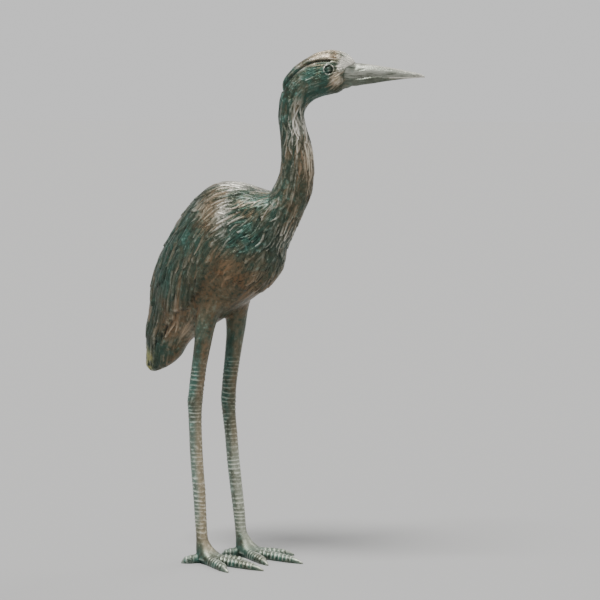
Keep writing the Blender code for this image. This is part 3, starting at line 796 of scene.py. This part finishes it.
def carved_head(points):
    """The crest plate with its groove, the eye rings, the nostrils and the cheek's edge."""
    along, aside = head_places(points)
    z = points[:, 2]
    offset, covered = crest_places(points)
    plate = ease(-0.6, 1.0, offset) * CREST_PROUD
    plate = plate - CREST_GROOVE * np.exp(-((offset + 1.8) / 1.5) ** 2)
    from_eye = eye_distance(points) - EYE_RADIUS / UNIT
    groove = -EYE_GROOVE * np.exp(-((from_eye - 0.4) / 0.8) ** 2)
    groove = groove + EYE_RING * np.exp(-((from_eye - 2.5) / 0.9) ** 2)
    groove = groove * (np.abs(aside) > 9)
    slit = line_offset(along, z, NOSTRIL)
    nostril = -NOSTRIL_DEEP * np.exp(-slit ** 2) * (np.abs(aside) > 3)
    step = -CHEEK_STEP * ease(-0.8, 0.8, bill_offset(along, z)) * (along > BILL_BEHIND)
    step = step * (1 - ease(100, 125, along)) * (z > BILL_LOWEST)
    return plate * covered + groove + nostril + step


def gathered(across, z, spots):
    """The strongest of several soft spots at each point."""
    result = np.zeros(len(z))
    for ahead, height, reach_ahead, reach_up, strength in spots:
        distance = ((across - ahead) / reach_ahead) ** 2 + ((z - height) / reach_up) ** 2
        result = np.maximum(result, strength * np.exp(-distance))
    return result


def sleek_places(points):
    """Where the plumage is rubbed away, where it is worn, and where the crest's groove is."""
    x, _, z = points.T
    off_wing = ease(-6, 2, -wing_offset(x, z))
    bare = ease(-2, 12, belly_offset(x, z)) * off_wing * ease(335, 350, z) * (x > -28)
    rubbed = np.maximum(bare * 0.85 * (z < 480), gathered(x, z, SLEEK_SPOTS))
    # The relief is flattened under the wing's painted wrist highlight.
    worn = np.clip(gathered(x, z, WRIST_HIGHLIGHT_SPOTS), 0, 1) * (1 - ease(556, 574, z))
    crest, covered = crest_places(points)
    groove = np.exp(-((crest + 1.6) / 2.4) ** 2) * covered
    return rubbed, worn, groove


def carve(mesh):
    """Smooth the fused skin, raise its carving and note what the patina needs."""
    net = mesh_net(mesh)
    smooth = blended_hips(relaxed(mesh_points(mesh), net), net)
    mesh.vertices.foreach_set("co", smooth.ravel())
    mesh.update()
    points = mesh_points(mesh) / UNIT
    normals = mesh_normals(mesh)
    chance = np.random.default_rng(SEED)
    region = feather_regions(points)
    ways = feather_ways(points, normals)
    locks, _, lock_tint = plumage(points, normals, ways, region, LOCKS, chance)
    strands, barb, strand_tint = plumage(points, normals, ways, region, STRANDS, chance)
    tint = 0.45 * lock_tint + 0.55 * strand_tint
    rubbed, worn, groove = sleek_places(points)
    lift = locks * (1 - np.maximum(rubbed, LOCK_WEAR * worn))
    lift += strands * (1 - np.maximum(rubbed, STRAND_WEAR * worn)) * (1 - groove)
    lift += carved_wings(points) + carved_legs(points)
    lift += carved_toes(points) + carved_head(points)
    carved = points + normals * lift[:, None]
    mesh.vertices.foreach_set("co", (carved * UNIT).ravel())
    mesh.update()
    broad = np.stack([smoothed(column, net, HOLLOW_ROUNDS) for column in carved.T], axis=1)
    recess = np.sum((broad - carved) * mesh_normals(mesh), axis=1)
    x, _, z = points.T
    # Hollows along the wing's upper edge count for less, so less painted shade and verdigris gather in
    # that crease.
    along_edge = np.exp(-(wing_offset(x, z) / 6.0) ** 2)
    recess *= 1 - 0.6 * along_edge * ease(405, 440, z)
    marks = {"recess": np.clip(recess, -DEEPEST, DEEPEST), "barb": barb, "tint": tint}
    marks.update(patina_places(points, normals, region, net))
    for name, values in marks.items():
        layer = mesh.attributes.new(name, "FLOAT", "POINT")
        layer.data.foreach_set("value", values.astype(np.float32))


def bill_places(points):
    """Where the bill is, how pale it is with a painted highlight along its top edge, a pale streak and a
    paler tip, and its lower half, left darker as painted shade.
    """
    ahead = head_places(points)[0]
    z = points[:, 2]
    bill = ease(-0.5, 2.0, bill_offset(ahead, z)) * (ahead > BILL_BEHIND) * (z > BILL_LOWEST)
    shares, tops, gapes = np.array(BILL).T[:3]
    places = FEATHER_EDGE + shares * BILL_LENGTH / UNIT
    top = np.interp(ahead, places, tops)
    gape = np.interp(ahead, places, gapes)
    # A painted highlight along the top edge of the upper bill.
    culmen = ease(0.60, 1.0, (z - gape) / (top - gape)) * (0.55 + 0.35 * ease(100, 130, ahead))
    streak = np.exp(-((z - gape + 2.2) / 1.4) ** 2) * ease(104, 165, ahead)
    tip = ease(140, 199, ahead)
    lower_half = ease(-1.0, 3.0, gape - z)
    return bill, culmen + streak * 0.6 + tip * 0.6, lower_half


def leg_places(points, normals):
    """Where the legs are, and how pale and how green they and the feet are: paler towards the feet, with
    painted light on the side turned to the camera's right and on the toes' tops, and greener on the
    other side.
    """
    x, y, z = points.T
    on_leg = (1 - ease(305, 365, z)) * (x > TAIL_CLEAR)
    lower = 1 - ease(120, 250, z)
    # Legs are painted paler on the side turned to the camera's right, painted light falling from that
    # side.
    across = 0.88 * normals[:, 0] + 0.47 * normals[:, 1]
    facing_front = ease(-0.35 - 0.25 * lower, 0.55 - 0.20 * lower, across)
    descent = np.where(y < 0, 1 - ease(150, 300, z), 1 - ease(140, 255, z))
    pale_and_highlight = on_leg * (0.12 + 0.88 * descent) * (0.35 + 0.65 * facing_front)
    foot = 1 - ease(14, 44, z)
    # Tops of the toes are painted pale, a painted highlight from above.
    on_top = ease(0.2, 0.9, normals[:, 2] + 0.25 * normals[:, 0])
    pale_and_highlight = pale_and_highlight * (1 - foot) + foot * on_top * (0.30 + 0.60 * ease(12, 28, z))
    green = on_leg * (1 - facing_front) * ease(40, 90, z) * 0.9
    green = np.maximum(green, on_leg * (y > 0) * (1 - ease(150, 200, z)) * 0.6)
    return on_leg, pale_and_highlight, green


def rust_places(points, normals, region, net):
    """How rusty the bare body, the thighs' fronts, the crown and the cheek are."""
    x, y, z = points.T
    ahead = head_places(points)[0]
    along, up = trunk_place(x, z)
    on_head = z > HEAD_BOTTOM
    bare = (region == "down") | ((along < 110) & (up < 12) & (z > 285))
    rust = smoothed(bare.astype(float), net, RUST_ROUNDS) * ease(335, 372, z) * 0.7
    rust = np.maximum(rust, gathered(x, z, RUST_SPOTS) * ~on_head)
    thigh = ease(0.1, 0.7, normals[:, 0]) * ease(235, 285, z) * (1 - ease(370, 410, z))
    rust = np.maximum(rust, thigh * np.where(y < 0, 1.0, 0.5))
    # On the crown this copper also turns the painted highlight tan.
    crown = ease(768, 776, z) * (1 - ease(62, 80, ahead)) * 0.8
    cheek = gathered(ahead, z, CHEEK_SPOTS) * 0.75
    return np.maximum(rust, (crown + cheek) * (1 - bill_places(points)[0]) * on_head)


def patina_places(points, normals, region, net):
    """Where each tone of the patina and each painted highlight gathers, from 0 to 1 over the skin."""
    x, _, z = points.T
    ahead = head_places(points)[0]
    along, up = trunk_place(x, z)
    on_head = z > HEAD_BOTTOM
    bill, bill_pale_and_highlight, lower_half = bill_places(points)
    on_leg, leg_pale_and_lit, leg_green = leg_places(points, normals)
    # The pale mark holds pale wear and painted highlights: on the wing's wrist, the hump, the neck's
    # sheen and the legs.
    pale_and_highlight = gathered(x, z, HIGHLIGHT_AND_WEAR_SPOTS) * (1 - on_leg) + leg_pale_and_lit
    # The top of the head is painted lighter as a painted highlight from above, with painted highlights
    # on the brow, the cheek and the eye.
    head_highlight = np.maximum(ease(764, 778, z) * 0.75, gathered(ahead, z, HEAD_HIGHLIGHT_SPOTS))
    on_ring = np.exp(-((eye_distance(points) - EYE_RADIUS / UNIT - 2.6) / 1.3) ** 2)
    on_face = np.maximum(head_highlight, on_ring * 0.55)
    pale_and_highlight = np.where(on_head, on_face * (1 - bill) + bill_pale_and_highlight * bill, pale_and_highlight)
    face = ease(700, 722, z) * (1 - ease(756, 766, z)) * (1 - ease(50, 62, ahead)) * 0.75
    green = np.maximum(face, np.maximum(leg_green, gathered(x, z, GREEN_SPOTS) * ~on_head))
    brass = np.exp(-(((along - 2) / 16) ** 2)) * ease(-4, 8, up + 12) * (z < 330) * (x < TAIL_CLEAR)
    return {
        "copper": np.clip(rust_places(points, normals, region, net), 0, 1),
        "pale_and_highlight": np.clip(pale_and_highlight, 0, 1),
        "green": np.clip(green, 0, 1),
        "brass": brass,
        "legs": on_leg,
        "bill": bill * (1 - 0.75 * lower_half),
    }


def thinned(mesh, collection):
    """The carved skin with its triangles spent where it bends."""
    thing = bpy.data.objects.new("thinned", mesh)
    collection.objects.link(thing)
    mesh.calc_loop_triangles()
    decimate = thing.modifiers.new("thin", "DECIMATE")
    decimate.ratio = min(1.0, TRIANGLES / len(mesh.loop_triangles))
    decimate.use_collapse_triangulate = True
    result = evaluated_mesh(thing)
    bpy.data.objects.remove(thing)
    return result


def stand_on_soles(mesh, middle):
    """Cut the feet flat at the ground and set the box's middle over a place; gives the move."""
    shape = bmesh.new()
    shape.from_mesh(mesh)
    geometry = shape.verts[:] + shape.edges[:] + shape.faces[:]
    cut = bmesh.ops.bisect_plane(shape, geom=geometry, dist=1e-7, plane_co=(0, 0, 0), plane_no=(0, 0, 1),
                                 clear_inner=True)
    rims = [piece for piece in cut["geom_cut"] if isinstance(piece, bmesh.types.BMEdge)]
    bmesh.ops.contextual_create(shape, geom=rims)
    bmesh.ops.triangulate(shape, faces=shape.faces[:])
    places = np.array([vertex.co for vertex in shape.verts])
    centre = (places.min(axis=0) + places.max(axis=0)) / 2
    move = Vector((middle[0] - centre[0], middle[1] - centre[1], 0.0))
    bmesh.ops.translate(shape, verts=shape.verts[:], vec=move)
    shape.to_mesh(mesh)
    shape.free()
    return move


class Tone:
    """A shader value that takes part in sums, so that a finish reads as arithmetic."""

    def __init__(self, finish, socket):
        self.finish = finish
        self.socket = socket

    def __add__(self, other):
        return self.finish.maths("ADD", self, other)

    __radd__ = __add__

    def __sub__(self, other):
        return self.finish.maths("SUBTRACT", self, other)

    def __rsub__(self, other):
        return self.finish.maths("SUBTRACT", other, self)

    def __mul__(self, other):
        return self.finish.maths("MULTIPLY", self, other)

    __rmul__ = __mul__

    def clamped(self):
        return self.finish.maths("MAXIMUM", self.finish.maths("MINIMUM", self, 1.0), 0.0)

    def between(self, low, high):
        """0 at low, 1 at high, eased in between."""
        made = self.finish.node("ShaderNodeMapRange", {"interpolation_type": "SMOOTHSTEP"},
                                {"Value": self, "From Min": low, "From Max": high})
        return Tone(self.finish, made.outputs["Result"])

    def sine(self):
        return self.finish.maths("SINE", self, 0.0)


class Finish:
    """A material under construction."""

    def __init__(self, name):
        self.material = bpy.data.materials.new(name)
        self.material.use_nodes = True
        self.tree = self.material.node_tree
        self.shader = self.tree.nodes["Principled BSDF"]

    def node(self, kind, settings, inputs):
        made = self.tree.nodes.new(kind)
        for name, value in settings.items():
            setattr(made, name, value)
        for name, value in inputs.items():
            self.feed(made.inputs[name], value)
        return made

    def feed(self, socket, value):
        if isinstance(value, Tone):
            self.tree.links.new(value.socket, socket)
        else:
            socket.default_value = value

    def maths(self, operation, first, second):
        made = self.node("ShaderNodeMath", {"operation": operation}, {0: first, 1: second})
        return Tone(self, made.outputs[0])

    def mark(self, name):
        """A number kept on the skin."""
        made = self.node("ShaderNodeAttribute", {"attribute_name": name}, {})
        return Tone(self, made.outputs["Fac"])

    def place(self, stretch):
        """Object coordinates, stretched by a factor along each axis."""
        coords = self.node("ShaderNodeTexCoord", {}, {})
        scaled = self.node("ShaderNodeVectorMath", {"operation": "MULTIPLY"},
                           {0: Tone(self, coords.outputs["Object"]), 1: stretch})
        return Tone(self, scaled.outputs["Vector"])

    def mottle(self, size, detail=3.0, roughness=0.55, stretch=(1.0, 1.0, 1.0)):
        """Cloudy variation from 0 to 1 with lumps of about a size in metres."""
        made = self.node("ShaderNodeTexNoise", {},
                         {"Vector": self.place(stretch), "Scale": 1.0 / size, "Detail": detail,
                          "Roughness": roughness})
        return Tone(self, made.outputs["Fac"])

    def blend(self, share, first, second):
        """A colour between two colours."""
        made = self.node("ShaderNodeMix", {"data_type": "RGBA"},
                         {"Factor": share, FIRST_COLOUR: first, SECOND_COLOUR: second})
        return Tone(self, made.outputs[MIXED_COLOUR])

    def relief(self, height, strength, distance):
        made = self.node("ShaderNodeBump", {},
                         {"Height": height, "Strength": strength, "Distance": distance})
        return Tone(self, made.outputs["Normal"])




def bronze_finish():
    """Dark bronze with verdigris in the hollows, rusty bare places, pale worn ridges with painted
    highlights and glints, and painted shade in the deepest hollows.
    """
    finish = Finish("patinated_bronze")
    names = ("recess", "tint", "copper", "pale_and_highlight", "green", "legs", "bill", "brass", "barb")
    recess, tint, copper, pale_and_highlight, green, legs, bill, brass, barb = map(finish.mark, names)
    clouds = finish.mottle(CLOUD_SIZE, 4.0)
    patches = finish.mottle(PATCH_SIZE, 4.0, 0.6)
    flecks = finish.mottle(FLECK_SIZE, 3.0, 0.6)
    grain = finish.mottle(GRAIN_SIZE, 3.0, 0.6)
    streaks = finish.mottle(STREAK_SIZE, 3.0, 0.6, STREAK_STRETCH)
    hollow = recess.between(0.05, 0.75)
    ridge = (recess * -1.0).between(-0.15, 0.50)
    base = finish.blend((flecks * 0.4 + tint * 0.7).between(0.35, 0.85), DARK_BRONZE, OLIVE)
    rusty = (patches * 0.35 + clouds * 0.35 + tint * 0.3).between(0.49, 0.64) * 0.6 * (1.0 - green * 0.8)
    rusty = (rusty * (1.0 - legs) + copper * flecks.between(0.25, 0.60) * 0.7).clamped() * (1.0 - bill)
    base = finish.blend(rusty, base, RUST)
    teal = (green * 0.8 + 0.3) * (patches * 0.5 + clouds * 0.3 + flecks * 0.2).between(0.38, 0.56)
    teal = (teal + hollow * green * 0.4).clamped() * (1.0 - bill * 0.8)
    base = finish.blend(teal * 0.9, base, TEAL)
    base = finish.blend(bill * streaks.between(0.25, 0.65), base, BILL_GREY)
    bloom = (flecks.between(0.52, 0.68) * (green * 0.7 + 0.2) * patches.between(0.45, 0.62)).clamped()
    base = finish.blend(bloom * 0.7, base, PALE_TEAL)
    # Ridges and pale places are painted pale: partly wear, partly painted highlights and glints on the
    # strands.
    worn_and_glinting = (flecks * 0.35 + patches * 0.15 + tint * 0.35 + pale_and_highlight * 0.22).between(0.40, 0.66)
    wear_and_highlight = (ridge * (pale_and_highlight * 0.9 + 0.45) + pale_and_highlight.between(0.3, 1.0) * (ridge * 0.4 + 0.25)) * worn_and_glinting
    wear_and_highlight = wear_and_highlight + pale_and_highlight.between(0.75, 1.0) * worn_and_glinting * 0.42
    wear_and_highlight = (wear_and_highlight * (1.0 - copper * 0.3) * (1.0 - legs)).clamped()
    base = finish.blend(wear_and_highlight, base, finish.blend(copper, WEAR_AND_HIGHLIGHT_GREY, WEAR_AND_HIGHLIGHT_TAN))
    mottled = (flecks * 0.5 + patches * 0.5).between(0.36, 0.58)
    # The leg's own taupe and grey, stronger where the legs are painted paler on their lit side and the
    # toes' tops.
    lit_leg_tone = (legs * pale_and_highlight * (mottled * 0.30 + 0.62)).clamped()
    base = finish.blend(lit_leg_tone, base, finish.blend(green, LEG_TAUPE, LEG_GREY))
    # Pale ring ridges on the legs: partly wear, partly painted glints, stronger on the painted lit side.
    ring_wear_and_glint = legs * (recess * -1.0).between(0.10, 0.45) * (pale_and_highlight * 0.8 + 0.3) * (green * 0.6 + 0.5)
    ring_wear_and_glint = ring_wear_and_glint * (flecks * 0.6 + patches * 0.4).between(0.36, 0.52)
    ring_wear_and_glint = (ring_wear_and_glint + legs * pale_and_highlight * flecks.between(0.52, 0.66) * 0.3).clamped()
    base = finish.blend(ring_wear_and_glint, base, finish.blend(green, RING_WEAR_GLINT_BEIGE, RING_WEAR_GLINT_GREEN))
    # Painted shade darkens the deep hollows, less on the bill and the legs.
    base = finish.blend(hollow * 0.9 * (1.0 - bill) * (1.0 - legs * 0.5), base, PAINTED_HOLLOW_SHADE)
    base = finish.blend((brass * patches.between(0.40, 0.62)).clamped(), base, BRASS_GREEN)
    hairs = (barb * BARB_RATE).sine() * 0.5 + 0.5
    height = hairs * 0.55 * (1.0 - bill) + streaks * bill * 0.8 + grain * 0.35 + flecks * 0.35
    dull = (teal * 0.6 + bloom * 0.4 + hollow * 0.4 + lit_leg_tone * 0.6).clamped()
    finish.feed(finish.shader.inputs["Base Color"], base)
    finish.feed(finish.shader.inputs["Metallic"], (CLEAN_METAL - dull * DULL_METAL).clamped())
    roughness = CLEAN_ROUGHNESS + dull * DULL_ROUGHNESS + grain * GRAIN_ROUGHNESS
    finish.feed(finish.shader.inputs["Roughness"], roughness.clamped())
    finish.feed(finish.shader.inputs["Normal"], finish.relief(height, FINE_STRENGTH, FINE_DEPTH))
    finish.feed(finish.shader.inputs["Coat Weight"], ((1.0 - dull) * WAX_COAT).clamped())
    finish.shader.inputs["Coat Roughness"].default_value = WAX_ROUGHNESS
    finish.shader.inputs["Specular IOR Level"].default_value = GLINT
    return finish.material




def floor():
    finish = Finish("studio_floor")
    finish.shader.inputs["Base Color"].default_value = FLOOR_COLOUR
    finish.shader.inputs["Roughness"].default_value = 1.0
    finish.shader.inputs["Specular IOR Level"].default_value = 0.0
    bpy.ops.mesh.primitive_plane_add(size=FLOOR_SIZE, location=(0, 0, 0))
    plane = bpy.context.object
    plane.name = "studio_floor"
    plane.data.materials.append(finish.material)


def light(name, away, spread, strength, colour):
    """A broad distant light that comes from a direction."""
    data = bpy.data.lights.new(name, "SUN")
    data.angle = math.radians(spread)
    data.energy = strength
    data.color = colour
    lamp = bpy.data.objects.new(name, data)
    lamp.location = away
    lamp.rotation_euler = Vector(away).to_track_quat("Z", "Y").to_euler()
    bpy.context.scene.collection.objects.link(lamp)


def studio():
    """Soft light: a pale surround, a broad key overhead and a weaker one from behind."""
    floor()
    world = bpy.data.worlds.new("studio")
    world.use_nodes = True
    world.node_tree.nodes["Background"].inputs["Color"].default_value = WALL_COLOUR
    bpy.context.scene.world = world
    for name, settings in LIGHTS.items():
        light(name, *settings)


def camera(move):
    """The photograph's viewpoint, moved with the figure."""
    heading = math.radians(CAMERA_HEADING)
    forward = Vector((-math.sin(heading), math.cos(heading), 0.0))
    right = Vector((math.cos(heading), math.sin(heading), 0.0))
    focal = CAMERA_LENS / SENSOR_WIDTH * FRAME_PIXELS
    sideways = CAMERA_AWAY * (GROUND_COLUMN - FRAME_PIXELS / 2) / focal
    data = bpy.data.cameras.new("camera")
    data.lens = CAMERA_LENS
    data.sensor_width = SENSOR_WIDTH
    eye = bpy.data.objects.new("camera", data)
    eye.location = move - forward * CAMERA_AWAY - right * sideways + Vector((0, 0, CAMERA_HEIGHT))
    eye.rotation_euler = (math.radians(90 - CAMERA_PITCH), 0.0, heading)
    bpy.context.scene.collection.objects.link(eye)
    bpy.context.scene.camera = eye


def carved_heron():
    """The whole casting as one finely carved piece; gives the move onto the solid's place."""
    collection = bpy.data.collections.new("bronze_heron")
    bpy.context.scene.collection.children.link(collection)
    skin = fused_skin(collection)
    carve(skin)
    mesh = thinned(skin, collection)
    low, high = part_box("heron")
    move = stand_on_soles(mesh, ((low[0] + high[0]) / 2, (low[1] + high[1]) / 2))
    mesh.name = "carved_heron"
    mesh.materials.clear()
    mesh.materials.append(bronze_finish())
    mesh.shade_smooth()
    heron = bpy.data.objects.new("carved_heron", mesh)
    collection.objects.link(heron)
    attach(heron, "root")
    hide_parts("heron")
    return move


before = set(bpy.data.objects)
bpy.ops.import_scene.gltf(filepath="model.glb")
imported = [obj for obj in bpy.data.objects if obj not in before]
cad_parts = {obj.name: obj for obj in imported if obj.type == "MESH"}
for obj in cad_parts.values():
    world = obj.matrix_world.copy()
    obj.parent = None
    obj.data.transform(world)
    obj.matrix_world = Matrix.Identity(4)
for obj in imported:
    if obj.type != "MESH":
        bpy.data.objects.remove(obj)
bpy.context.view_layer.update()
move = carved_heron()
studio()
camera(move)
